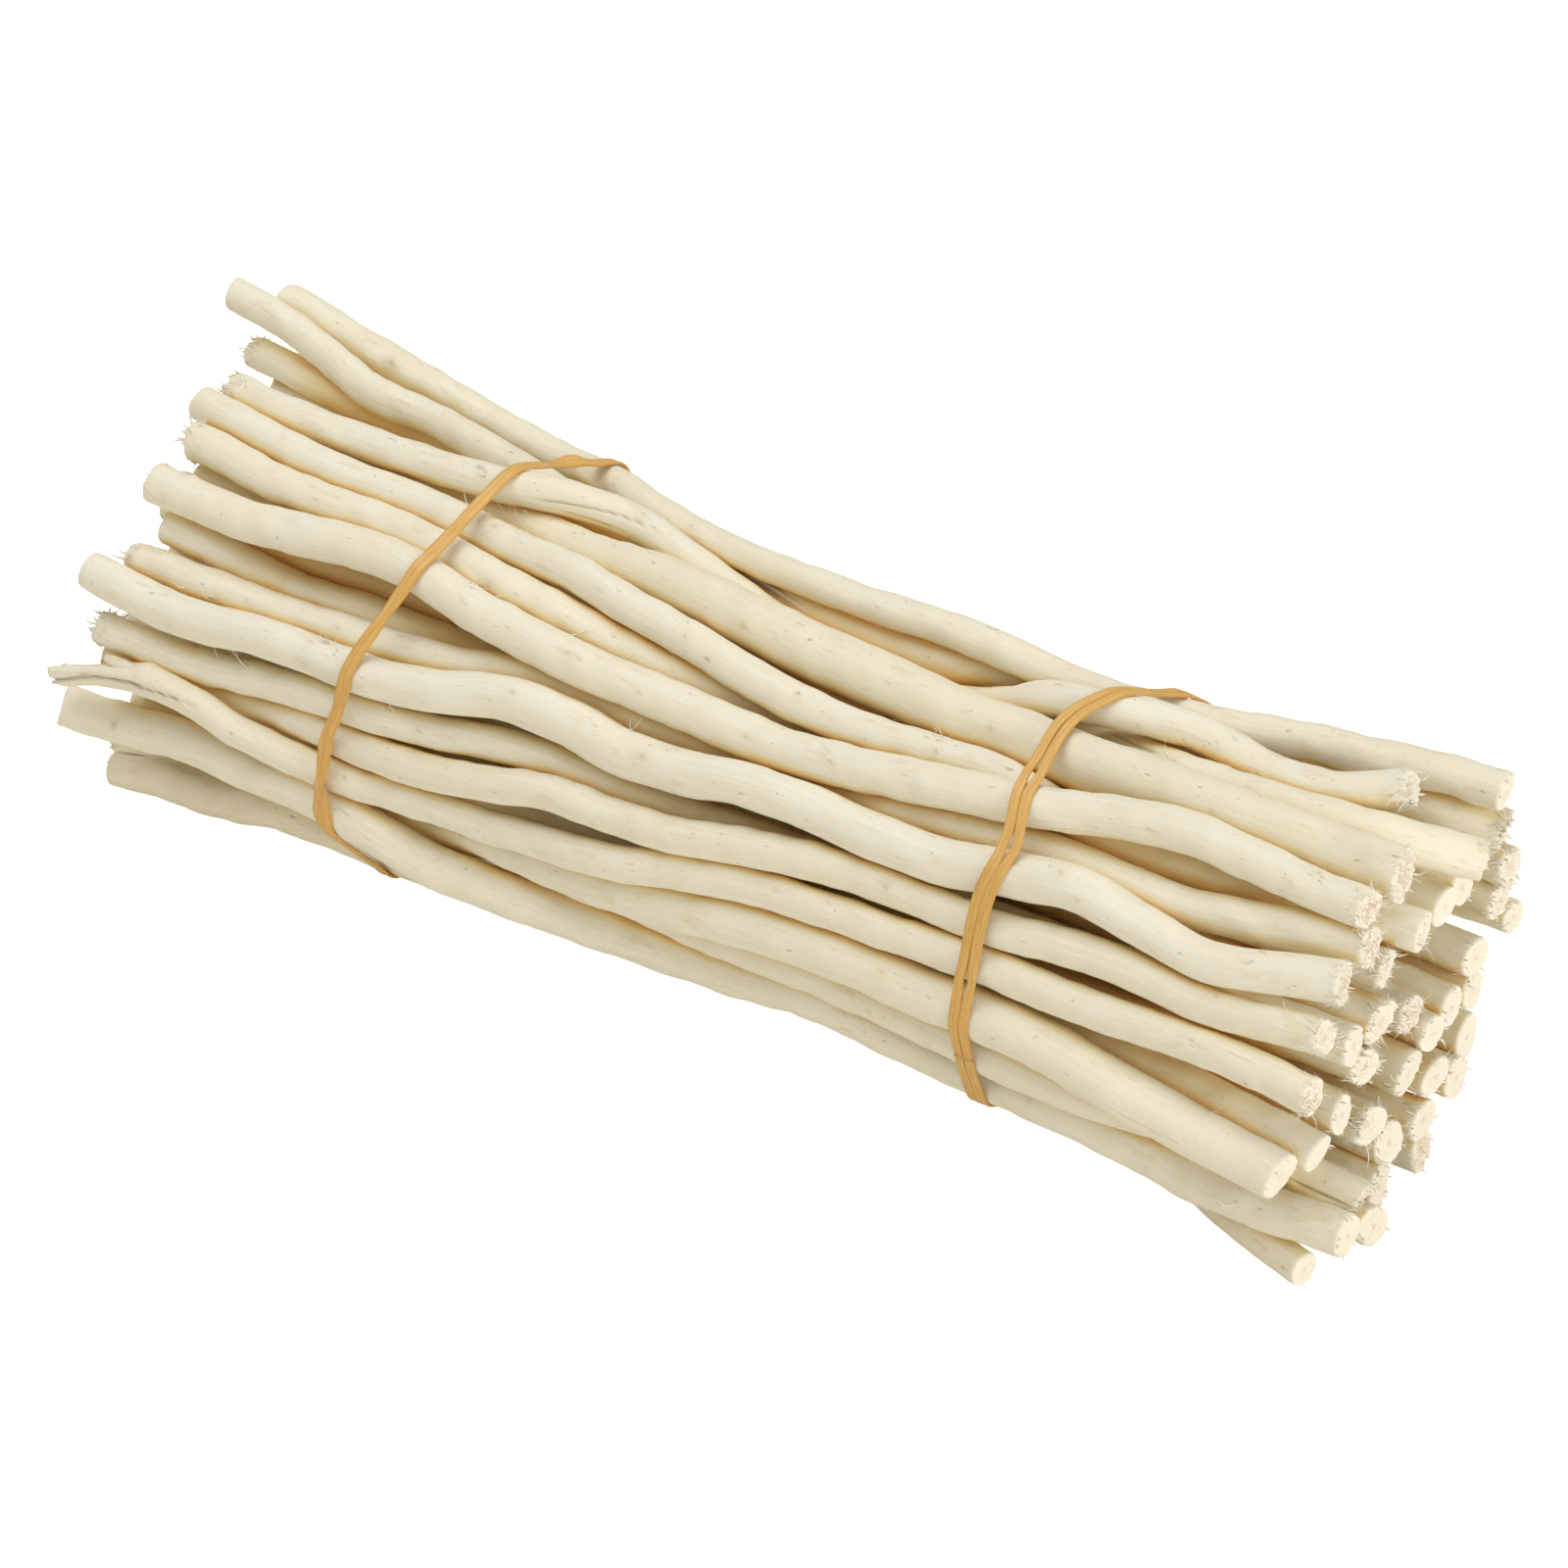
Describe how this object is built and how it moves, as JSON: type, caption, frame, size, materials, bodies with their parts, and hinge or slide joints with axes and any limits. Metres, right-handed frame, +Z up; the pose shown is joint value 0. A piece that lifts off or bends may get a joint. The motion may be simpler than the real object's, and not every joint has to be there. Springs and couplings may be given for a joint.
{
  "type": "bundle of twigs",
  "caption": "Loose bundle of peeled straight twigs lying on its side, held by a strap of rubber near each end, with cut and frayed ends.",
  "frame": {"origin": "centre of the underside of the bundle's bounding box, on the surface that it lies on", "axes": "+X along the twigs, towards the end where the clean round cut ends face the viewer; +Z up; +Y across the bundle, away from the picture's viewer"},
  "size_m": [0.423, 0.1228, 0.1172],
  "materials": {
    "peeled_wood": "dry peeled twig wood, pale ivory, matt, with fine long grain and small knots",
    "amber_rubber": "amber rubber band, slightly shiny"
  },
  "bodies": {
    "root": {"twig_01": "peeled_wood", "twig_02": "peeled_wood", "twig_03": "peeled_wood", "twig_04": "peeled_wood", "twig_05": "peeled_wood", "twig_06": "peeled_wood", "twig_07": "peeled_wood", "twig_08": "peeled_wood", "twig_09": "peeled_wood", "twig_10": "peeled_wood", "twig_11": "peeled_wood", "twig_12": "peeled_wood", "twig_13": "peeled_wood", "twig_14": "peeled_wood", "twig_15": "peeled_wood", "twig_16": "peeled_wood", "twig_17": "peeled_wood", "twig_18": "peeled_wood", "twig_19": "peeled_wood", "twig_20": "peeled_wood", "twig_21": "peeled_wood", "twig_22": "peeled_wood", "twig_23": "peeled_wood", "twig_24": "peeled_wood", "twig_25": "peeled_wood", "twig_26": "peeled_wood", "twig_27": "peeled_wood", "twig_28": "peeled_wood", "twig_29": "peeled_wood", "twig_30": "peeled_wood", "twig_31": "peeled_wood", "twig_32": "peeled_wood", "twig_33": "peeled_wood", "twig_34": "peeled_wood", "twig_35": "peeled_wood", "twig_36": "peeled_wood", "twig_37": "peeled_wood", "twig_38": "peeled_wood", "twig_39": "peeled_wood", "twig_40": "peeled_wood", "twig_41": "peeled_wood", "twig_42": "peeled_wood", "twig_43": "peeled_wood", "twig_44": "peeled_wood", "twig_45": "peeled_wood", "twig_46": "peeled_wood", "twig_47": "peeled_wood", "twig_48": "peeled_wood", "twig_49": "peeled_wood", "twig_50": "peeled_wood", "band_left": "amber_rubber", "band_right": "amber_rubber"}
  },
  "joints": []
}
